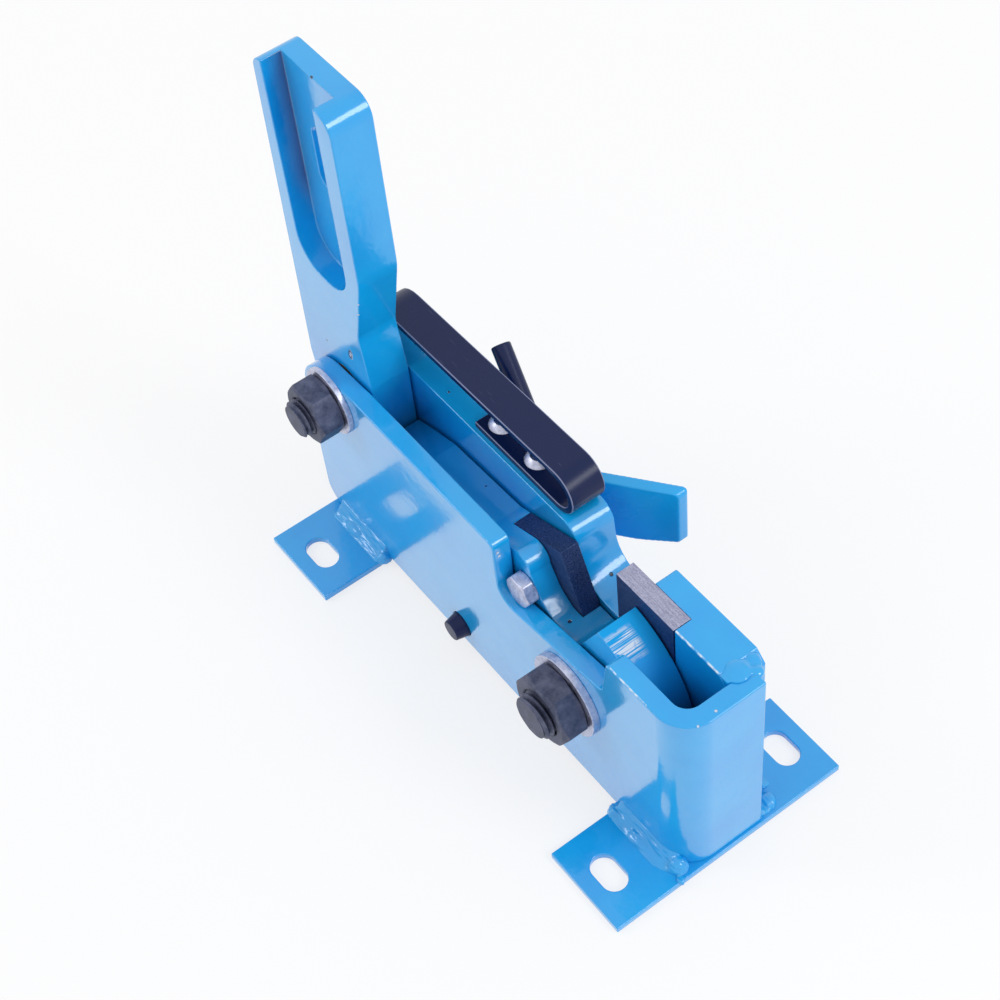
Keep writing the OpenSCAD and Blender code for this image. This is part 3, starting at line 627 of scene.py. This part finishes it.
def middle(node_name):
    """The middle of a CAD node's box."""
    low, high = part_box(node_name)
    return (low + high) / 2


class CUTTER_OT_feet(bpy.types.Operator):
    """Paint the two slotted feet"""
    bl_idname = "cutter.feet"
    bl_label = "Feet"

    def execute(self, context):
        for name in ("front_foot", "rear_foot"):
            painted(name, "base", settings().edge.forging)
        return {"FINISHED"}


class CUTTER_OT_side_plates(bpy.types.Operator):
    """Paint the bent near plate and the thick far plate"""
    bl_idname = "cutter.side_plates"
    bl_label = "Side plates"

    def execute(self, context):
        edge = settings().edge
        low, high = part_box("near_side_plate")
        near_face, near_top = low.y / MM, high.z / MM
        # The edges are painted highlights along the plates' top edges
        painted("near_side_plate", "base", edge.plate,
                chips=[(15.5, -27.3, 122.4, 0.7), (142.6, -16.6, 122.6, 0.6), (141.8, -6.0, 123.0, 0.7),
                       (10.9, -24.8, 116.1, 0.9), (10.9, -24.2, 113.2, 0.9)],
                edges=[(96, 121, near_face + 0.3, near_top - 0.3, 0.45)])
        painted("far_side_plate", "base", edge.forging, pits=[(39.5, 17.7, 92.0, 1.1), (-76.2, 11.7, 124.0, 0.6)],
                edges=[(100, 129, 6.6, 123.85, 0.6)])
        return {"FINISHED"}


def bead(name, start, length, out, turn=0.0, turn_r=0.0):
    """A fillet bead along X from a start on the corner line, which may then follow the plate's bend."""
    leg = settings().weld.leg
    # Hollow face between two feathered toes; the back is sunk into both plates
    shares = [(-0.15, -0.15), (1.0, -0.15), (1.0, 0.0), (0.66, 0.20), (0.42, 0.40), (0.20, 0.70), (0.0, 1.0),
              (-0.15, 1.0)]
    clear_selection()
    bpy.ops.mesh.primitive_circle_add(vertices=len(shares), radius=leg, fill_type="NGON", location=(0, 0, 0))
    piece = newest(name)
    for vertex, (across, up) in zip(piece.data.vertices, shares):
        vertex.co = Vector(start) * MM + Vector((0, out * across * leg, up * leg))
    edit(piece)
    bpy.ops.mesh.extrude_region_move(TRANSFORM_OT_translate={"value": (length * MM, 0, 0)})
    if turn:
        centre = Vector((start[0] + length, start[1] - out * turn_r, start[2])) * MM
        bpy.ops.mesh.spin(steps=8, angle=math.radians(turn), center=centre, axis=(0, 0, out))
    bpy.ops.mesh.select_all(action="SELECT")
    bpy.ops.mesh.normals_make_consistent(inside=False)
    leave_edit()
    return piece


def blob(name, place, size):
    """A flattened puddle of weld metal; place and half sizes are in millimetres."""
    clear_selection()
    bpy.ops.mesh.primitive_uv_sphere_add(segments=24, ring_count=14, radius=1 * MM, location=(0, 0, 0))
    piece = newest(name)
    edit(piece)
    bpy.ops.transform.resize(value=size)
    bpy.ops.transform.translate(value=Vector(place) * MM)
    leave_edit()
    return piece


def one_skin(piece):
    """Joins overlapping metal to one skin and smooths it."""
    skin = piece.modifiers.new("One skin", "REMESH")
    skin.mode, skin.voxel_size = "VOXEL", VOXEL
    calm = piece.modifiers.new("Smoothed", "SMOOTH")
    calm.factor, calm.iterations = 0.5, 8
    apply_modifiers(piece)
    bpy.ops.object.shade_smooth()
    return piece


def melted(piece, grain, share=1.0):
    """Draws a weld's skin into wrinkles as long as grain's three sizes, in mm, and keeps it off the bench."""
    one_skin(piece)
    depth = share * settings().weld.wrinkle
    moves = []
    for vertex in piece.data.vertices:
        at = Vector(c / (g * MM) for c, g in zip(vertex.co, grain))
        swell = noise.noise(at) * 0.6 + noise.noise(at * 2.3 + Vector((7, 3, 1))) * 0.4
        moves.append(vertex.co + vertex.normal * swell * depth)
    for vertex, there in zip(piece.data.vertices, moves):
        vertex.co = (there.x, there.y, max(there.z, WELD_FLOOR))
    return piece


def joined(pieces, name):
    """One piece made of several."""
    clear_selection()
    for piece in pieces:
        piece.select_set(True)
    bpy.context.view_layer.objects.active = pieces[0]
    bpy.ops.object.join()
    piece = newest(name)
    return piece


class CUTTER_OT_welds(bpy.types.Operator):
    """Lay the beads at the feet and up the front corner"""
    bl_idname = "cutter.welds"
    bl_label = "Welds"

    def execute(self, context):
        paint = enamel("enamel_welds", rough=0.10, wavy=0.15)
        near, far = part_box("near_side_plate")[0].y / MM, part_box("far_side_plate")[1].y / MM
        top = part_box("front_foot")[1].z / MM
        rows = [
            bead("near_front", (98, near, top), 28.7, -1, 36, 18),
            bead("far_front", (98, far, top), 35, 1),
            bead("near_rear", (-138, near, top), 41, -1),
            bead("far_rear", (-138, far, top), 41, 1),
            bead("wall_front", (133, 20, top), 11, 1),
            blob("near_start", (98, near - 2.4, top), (4.2, 5.0, 4.0)),
            blob("near_pool", (117, near - 2.2, top), (10, 5.2, 3.8)),
            blob("near_stop", (138.6, -25.9, top), (5.4, 5.4, 6.8)),
            blob("front_drop", (145.2, -29.8, top), (2.6, 2.2, 1.7)),
            blob("rear_pool", (-121, near - 2.2, top), (9, 5.2, 3.8)),
            blob("rear_stop", (-97.5, near - 2.2, top), (4.4, 4.8, 3.8)),
            blob("far_stop", (139, 28, top), (5, 5, 4.2))]
        beads = melted(joined(rows, "foot_weld_beads"), (14, 2.0, 2.2))
        finish_piece(beads, "base", paint, "foot_welds")
        rows = [
            taken("corner_weld", "corner_core"),
            blob("corner_pool", (132.6, 13.8, 123.4), (6.2, 6.6, 1.7)),
            blob("corner_edge", (137.4, 20.6, 121.6), (3.4, 3.6, 2.6)),
            blob("corner_back", (131.2, 23.4, 121.6), (4.4, 3.8, 2.8)),
            blob("corner_ridge", (133.4, 17.9, 123.7), (2.6, 1.1, 1.5))]
        corner = melted(joined(rows, "corner_weld_bead"), (6, 6, 12), 0.25)
        finish_piece(corner, "base", paint, "corner_weld")
        return {"FINISHED"}


class CUTTER_OT_jaw_arm(bpy.types.Operator):
    """Paint the jaw arm with its machined rim, and its bush"""
    bl_idname = "cutter.jaw_arm"
    bl_label = "Jaw arm"

    def execute(self, context):
        arm = painted("shear_arm", "jaw", settings().edge.forging,
                      pits=[(44.3, -11.1, 85.5, 1.0), (-34.3, 0.4, 100.4, 0.7)])
        arm.data.materials.append(enamel("enamel_turned_rim", rough=0.42, peel_depth=0.1, coat=0.0, rim=True))
        low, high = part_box("arm_bush")
        hub = (low + high) / 2
        for face in arm.data.polygons:
            away = Vector((face.center.x - hub.x, 0, face.center.z - hub.z))
            if away.length > RIM_RADIUS and face.normal.dot(away.normalized()) > 0.9 and face.center.x > hub.x:
                face.material_index = 1
        NODES["arm_bush"].data.materials[0] = bush_bronze()
        return {"FINISHED"}


class CUTTER_OT_lever(bpy.types.Operator):
    """Paint the hand lever's socket and its bush"""
    bl_idname = "cutter.lever"
    bl_label = "Lever"

    def execute(self, context):
        piece = taken("lever", "lever_painted")
        soften(piece, settings().edge.forging)
        paint = enamel(
            "enamel_lever",
            pits=[(-138.8, -16.5, 129.1, 0.7), (-115.6, -16.5, 139.6, 1.6), (-116.2, -16.5, 137.6, 1.9),
                  (-116.8, -16.5, 135.6, 1.6), (-123.5, -5.5, 300, 0.9)],
            chips=[(-98.2, -16.4, 187.0, 0.6), (-100.2, -16.4, 178.6, 0.7), (-115.9, -16.5, 138.6, 0.9),
                   (-116.4, -16.5, 136.8, 0.9)])
        finish_piece(piece, "hand_lever", paint, "lever")
        # The pocket wall's faces take a painted shade
        piece.data.materials.append(enamel("enamel_pocket_painted_shade", pocket=True))
        for face in piece.data.polygons:
            inner = face.center.x < POCKET_X and POCKET_RIM < face.center.y < POCKET_FLOOR
            if inner and face.normal.x > 0.6 and face.center.z > POCKET_FOOT:
                face.material_index = 1
        NODES["lever_bush"].data.materials[0] = bush_bronze()
        return {"FINISHED"}


class CUTTER_OT_blades(bpy.types.Operator):
    """Grind the two blades"""
    bl_idname = "cutter.blades"
    bl_label = "Blades"

    def execute(self, context):
        edge = settings().edge.blade
        dark = blade_steel("hardened_blade", "#123462", "#4C5C86", 0.40)
        ground = blade_steel("ground_blade", "#8A8CA8", "#B4B6CE", 0.34)
        moving = soften(taken("moving_blade", "moving_blade_ground"), edge, *FINE_EDGE)
        finish_piece(moving, "jaw", dark, "moving_blade")
        fixed = soften(taken("fixed_blade", "fixed_blade_ground"), edge, *FINE_EDGE)
        finish_piece(fixed, "base", dark, "fixed_blade")
        fixed.data.materials.append(ground)
        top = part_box("fixed_blade")[1].z
        for face in fixed.data.polygons:
            if face.normal.z > 0.7 and face.center.z > top - 0.5 * MM:
                face.material_index = 1
        return {"FINISHED"}


class CUTTER_OT_blade_bolts(bpy.types.Operator):
    """Plate the blades' bolts and washer"""
    bl_idname = "cutter.blade_bolts"
    bl_label = "Blade bolts"

    def execute(self, context):
        zinc = zinc_plate()
        low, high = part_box("moving_blade_bolt")
        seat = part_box("shear_arm")[0].y
        centre = middle("moving_blade_bolt")
        bolt = hexagon("moving_blade_bolt_zinced", high.z - low.z, seat - low.y, shank=5 * MM, length=high.y - seat)
        seat_along_y(bolt, centre.x, seat, centre.z, far=False)
        finish_piece(bolt, "jaw", zinc, "moving_blade_bolt")
        low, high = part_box("fixed_blade_bolt")
        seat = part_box("fixed_blade_washer")[1].y
        centre = middle("fixed_blade_bolt")
        bolt = dome("fixed_blade_bolt_zinced", (high.z - low.z) / 2, high.y - seat, 4 * MM, seat - low.y)
        seat_along_y(bolt, centre.x, seat, centre.z)
        finish_piece(bolt, "base", zinc, "fixed_blade_bolt")
        fastener("fixed_blade_washer", "base", "zinc_plate", zinc)
        return {"FINISHED"}


def thread_end(name, radius, pitch, length):
    """The threaded end of a pivot bolt, from z = 0 inside its nut up to its chamfered tip."""
    depth = THREAD_DEPTH * pitch
    clear_selection()
    bpy.ops.mesh.primitive_plane_add(size=pitch, location=(0, 0, 0))
    piece = newest(name)
    # One pitch of the profile: root, flank, crest, flank, root, as (radius, run along the bolt)
    profile = [(radius - depth, 0), (radius, 0.44), (radius, 0.56), (radius - depth, 1.0)]
    edit(piece, lambda co: not (co.x < 0 and co.y < 0))
    bpy.ops.mesh.delete(type="VERT")
    leave_edit()
    edit(piece)
    first = piece.data.vertices[0].co.copy()
    bpy.ops.transform.translate(value=Vector((profile[0][0], 0, -1.97 * pitch)) - first)
    for (r0, s0), (r1, s1) in zip(profile, profile[1:]):
        bpy.ops.mesh.extrude_vertices_move(
            TRANSFORM_OT_translate={"value": (r1 - r0, 0, (s1 - s0) * pitch)})
    leave_edit()
    helix = piece.modifiers.new("Helix", "SCREW")
    helix.axis, helix.angle, helix.steps, helix.render_steps = "Z", math.tau, THREAD_STEPS, THREAD_STEPS
    helix.iterations, helix.screw_offset = math.ceil(length / pitch) + 3, pitch
    helix.use_merge_vertices, helix.merge_threshold = False, 0.01 * MM
    apply_modifiers(piece)
    edit(piece)
    bpy.ops.mesh.remove_doubles(threshold=0.01 * MM)
    # Cut square at both ends and closed
    bpy.ops.mesh.bisect(plane_co=(0, 0, 0), plane_no=(0, 0, 1), use_fill=True, clear_inner=True)
    bpy.ops.mesh.select_all(action="SELECT")
    bpy.ops.mesh.bisect(plane_co=(0, 0, length), plane_no=(0, 0, 1), use_fill=True, clear_outer=True)
    bpy.ops.mesh.select_all(action="SELECT")
    bpy.ops.mesh.normals_make_consistent(inside=False)
    leave_edit()
    # The thread runs out into the tip's chamfer
    for vertex in piece.data.vertices:
        most = radius - THREAD_TIP + (length - vertex.co.z)
        share = min(1.0, most / math.hypot(vertex.co.x, vertex.co.y))
        vertex.co = (vertex.co.x * share, vertex.co.y * share, vertex.co.z)
    pick(piece)
    bpy.ops.object.shade_smooth_by_angle(angle=math.radians(24))
    return piece


class CUTTER_OT_pivots(bpy.types.Operator):
    """Blacken the pivot bolts and nuts, cut their threads and plate their washers"""
    bl_idname = "cutter.pivots"
    bl_label = "Pivots"

    def execute(self, context):
        steel, zinc = quenched_steel(), zinc_plate()
        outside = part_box("far_side_plate")[1].y
        for end, radius, pitch in (("front", 12 * MM, 3.0 * MM), ("rear", 10 * MM, 2.5 * MM)):
            low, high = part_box(f"{end}_pivot_nut")
            centre = middle(f"{end}_pivot_nut")
            nut = hexagon(f"{end}_pivot_nut_blackened", high.z - low.z, high.y - low.y, bore=radius)
            seat_along_y(nut, centre.x, high.y, centre.z, far=False)
            finish_piece(nut, "base", steel, f"{end}_pivot_nut")
            fastener(f"{end}_pivot_washer", "base", "zinc_plate", zinc)
            # The thread starts a little inside the nut
            face = low.y + 4 * MM
            low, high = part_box(f"{end}_pivot_bolt")
            head = hexagon("head", high.z - low.z, high.y - outside, shank=radius, length=outside - face)
            seat_along_y(head, centre.x, outside, centre.z)
            thread = thread_end("thread", radius, pitch, face - low.y)
            seat_along_y(thread, centre.x, face, centre.z, far=False)
            bolt = joined([head, thread], f"{end}_pivot_bolt_blackened")
            finish_piece(bolt, "base", steel, f"{end}_pivot_bolt")
        return {"FINISHED"}


class CUTTER_OT_strap(bpy.types.Operator):
    """Lacquer the carrying strap and set its two dome-head screws"""
    bl_idname = "cutter.strap"
    bl_label = "Carrying strap"

    def execute(self, context):
        strap = soften(taken("carry_strap", "carry_strap_lacquered"), settings().edge.bar)
        finish_piece(strap, "base", strap_lacquer(), "carry_strap")
        # The bar's rounded corners get a paler tone, a painted highlight
        strap.data.materials.append(strap_lacquer("lacquer_painted_edge_highlight", "#7C84A6"))
        for face in strap.data.polygons:
            if 0.15 < abs(face.normal.y) < 0.96:
                face.material_index = 1
        low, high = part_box("strap_screws")
        radius, height = (high.y - low.y) / 2, 4.4 * MM
        heads = []
        for x in (low.x + radius, high.x - radius):
            head = dome("strap_screw", radius, height, 4 * MM, 3 * MM)
            head.location = (x, (low.y + high.y) / 2, high.z - height)
            settle(head)
            heads.append(head)
        screws = joined(heads, "strap_screws_domed")
        finish_piece(screws, "base", zinc_plate(), "strap_screws")
        # The crowns are worn smooth and carry a dark painted reflection of the black strap over them
        screws.data.materials.append(zinc_painted_reflection())
        for face in screws.data.polygons:
            if face.normal.z > 0.86:
                face.material_index = 1
        return {"FINISHED"}


class CUTTER_OT_stop_pin(bpy.types.Operator):
    """Blacken the stop pin"""
    bl_idname = "cutter.stop_pin"
    bl_label = "Stop pin"

    def execute(self, context):
        fastener("stop_pin", "base", "pin_steel", strap_lacquer())
        return {"FINISHED"}


class CUTTER_OT_bar_stop(bpy.types.Operator):
    """Paint the swinging bar stop, its handle rod and its pivot bolt"""
    bl_idname = "cutter.bar_stop"
    bl_label = "Bar stop"

    def execute(self, context):
        piece = one_skin(taken("bar_stop", "bar_stop_painted"))
        finish_piece(piece, "stop", enamel("enamel_bar_stop", rough=0.24, coat=0.45), "bar_stop")
        rod = soften(taken("bar_stop_handle", "bar_stop_rod"), 0.9 * MM)
        finish_piece(rod, "stop", strap_lacquer(), "bar_stop_handle")
        low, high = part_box("bar_stop_bolt")
        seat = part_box("bar_stop_washer")[1].y
        centre = middle("bar_stop_bolt")
        bolt = hexagon("bar_stop_bolt_zinced", high.z - low.z, high.y - seat, shank=5 * MM, length=seat - low.y)
        seat_along_y(bolt, centre.x, seat, centre.z)
        finish_piece(bolt, "base", zinc_plate(), "bar_stop_bolt")
        fastener("bar_stop_washer", "base", "zinc_plate", zinc_plate())
        return {"FINISHED"}


class CUTTER_OT_stage(bpy.types.Operator):
    """Set the pale floor, the soft lamps and the camera"""
    bl_idname = "cutter.stage"
    bl_label = "Stage"

    def execute(self, context):
        scene, stage = context.scene, settings().stage
        scene.view_settings.view_transform = "Standard"
        clear_selection()
        bpy.ops.mesh.primitive_plane_add(size=FLOOR_SIDE, location=(0, 0, 0))
        floor = context.view_layer.objects.active
        floor.name = "studio_floor"
        settle(floor)
        floor.data.materials.append(self.floor_material(stage))
        self.sky(scene, stage)
        self.softbox("key_softbox", *KEY_BOX, stage.key)
        self.softbox("edge_softbox", *EDGE_BOX, stage.fill)
        self.camera(scene, stage)
        return {"FINISHED"}

    def floor_material(self, stage):
        """White board: it takes the shadow, and looks plain white to the camera and in the gloss."""
        material = bpy.data.materials.new("studio_board")
        material.use_nodes = True
        tree = material.node_tree
        tree.nodes.clear()
        seen = self.seen_rays(tree)
        board = node(tree, "ShaderNodeBsdfPrincipled", {"Base Color": (*stage.floor, 1), "Roughness": 0.8})
        glow = node(tree, "ShaderNodeEmission", {"Color": (1, 1, 1, 1), "Strength": 1.0})
        share = node(tree, "ShaderNodeMath", {1: 0.72}, {0: seen}, operation="MULTIPLY")
        mixed = node(tree, "ShaderNodeMixShader", links={0: share, 1: board, 2: glow})
        node(tree, "ShaderNodeOutputMaterial", links={"Surface": mixed})
        return material

    def seen_rays(self, tree):
        """1 for the rays by which the camera sees the studio, directly, in gloss or through glass."""
        rays = node(tree, "ShaderNodeLightPath").outputs
        seen = rays["Is Camera Ray"]
        for kind in ("Is Glossy Ray", "Is Transmission Ray"):
            seen = node(tree, "ShaderNodeMath", links={0: seen, 1: rays[kind]}, operation="MAXIMUM")
        return seen

    def sky(self, scene, stage):
        """Soft light from all round, which looks white to the camera and in the gloss."""
        world = bpy.data.worlds.new("studio_sky")
        scene.world = world
        world.use_nodes = True
        tree = world.node_tree
        tree.nodes.clear()
        strength = node(tree, "ShaderNodeMapRange", {"To Min": stage.sky}, {"Value": self.seen_rays(tree)})
        light = node(tree, "ShaderNodeBackground", {"Color": (1, 1, 1, 1)}, {"Strength": strength})
        node(tree, "ShaderNodeOutputWorld", links={"Surface": light})

    def softbox(self, name, direction, distance, side, power):
        """A square lamp that looks at the cutter."""
        direction = Vector(direction).normalized()
        clear_selection()
        bpy.ops.object.light_add(type="AREA", location=Vector(LAMP_TARGET) + direction * distance)
        lamp = newest(name)
        lamp.data.shape, lamp.data.size = "SQUARE", side
        lamp.data.energy = power
        lamp.rotation_euler = (-direction).to_track_quat("-Z", "Y").to_euler()

    def camera(self, scene, stage):
        """Stands the camera where the photograph was taken."""
        clear_selection()
        bpy.ops.object.camera_add()
        camera = bpy.context.view_layer.objects.active
        camera.name = "photo_camera"
        ahead, right = Vector(EYE_AHEAD).normalized(), Vector(EYE_RIGHT)
        right = (right - right.dot(ahead) * ahead).normalized()
        up = right.cross(ahead)
        camera.matrix_world = Matrix.Translation(EYE) @ Matrix((right, up, -ahead)).transposed().to_4x4()
        camera.data.lens, camera.data.sensor_width = stage.lens, 36
        camera.data.shift_x, camera.data.shift_y = EYE_SHIFT
        camera.data.clip_start, camera.data.clip_end = 0.01, 50
        scene.camera = camera


class CUTTER_PT_panel(bpy.types.Panel):
    """Lists the cutter's pieces and settings"""
    bl_label = "Rebar cutter"
    bl_idname = "CUTTER_PT_panel"
    bl_space_type = "VIEW_3D"
    bl_region_type = "UI"
    bl_category = "Cutter"

    def draw(self, context):
        column = self.layout.column(align=True)
        for operator in OPERATORS:
            column.operator(operator.bl_idname)
        for group in (settings().paint, settings().edge, settings().weld, settings().stage):
            box = self.layout.box()
            for name in group.__annotations__:
                box.prop(group, name)


OPERATORS = (
    CUTTER_OT_stage, CUTTER_OT_feet, CUTTER_OT_side_plates, CUTTER_OT_welds, CUTTER_OT_jaw_arm, CUTTER_OT_lever,
    CUTTER_OT_blades, CUTTER_OT_blade_bolts, CUTTER_OT_pivots, CUTTER_OT_strap, CUTTER_OT_stop_pin,
    CUTTER_OT_bar_stop)
CLASSES = (
    PaintSettings, EdgeSettings, WeldSettings, StageSettings, CutterSettings, *OPERATORS, CUTTER_PT_panel)


def register():
    for cls in CLASSES:
        bpy.utils.register_class(cls)
    bpy.types.Scene.cutter_settings = bpy.props.PointerProperty(type=CutterSettings)


def unregister():
    del bpy.types.Scene.cutter_settings
    for cls in reversed(CLASSES):
        bpy.utils.unregister_class(cls)


def main():
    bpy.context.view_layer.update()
    register()
    for operator in OPERATORS:
        group, name = operator.bl_idname.split(".")
        getattr(getattr(bpy.ops, group), name)()


if __name__ == "__main__":
    main()
